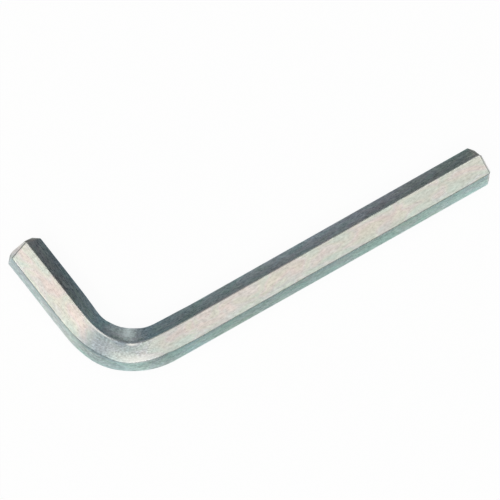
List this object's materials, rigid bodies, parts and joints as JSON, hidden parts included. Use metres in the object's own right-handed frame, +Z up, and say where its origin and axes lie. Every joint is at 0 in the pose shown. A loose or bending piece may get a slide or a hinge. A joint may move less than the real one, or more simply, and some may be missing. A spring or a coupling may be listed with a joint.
{
  "type": "hex key",
  "caption": "L-shaped hexagon key bent from one steel bar, with chamfered ends, for turning socket-head screws.",
  "frame": {"origin": "middle of the key's outline in plan, on the surface that it lies on", "axes": "+X along the long arm towards its tip, +Y to the short arm's side, +Z up, out of the flat that it lies on"},
  "size_m": [0.1272, 0.0492, 0.01],
  "materials": {
    "plated_steel": "bright zinc-plated drawn steel, faintly mottled"
  },
  "bodies": {
    "root": {"hex_key": "plated_steel"}
  },
  "joints": []
}
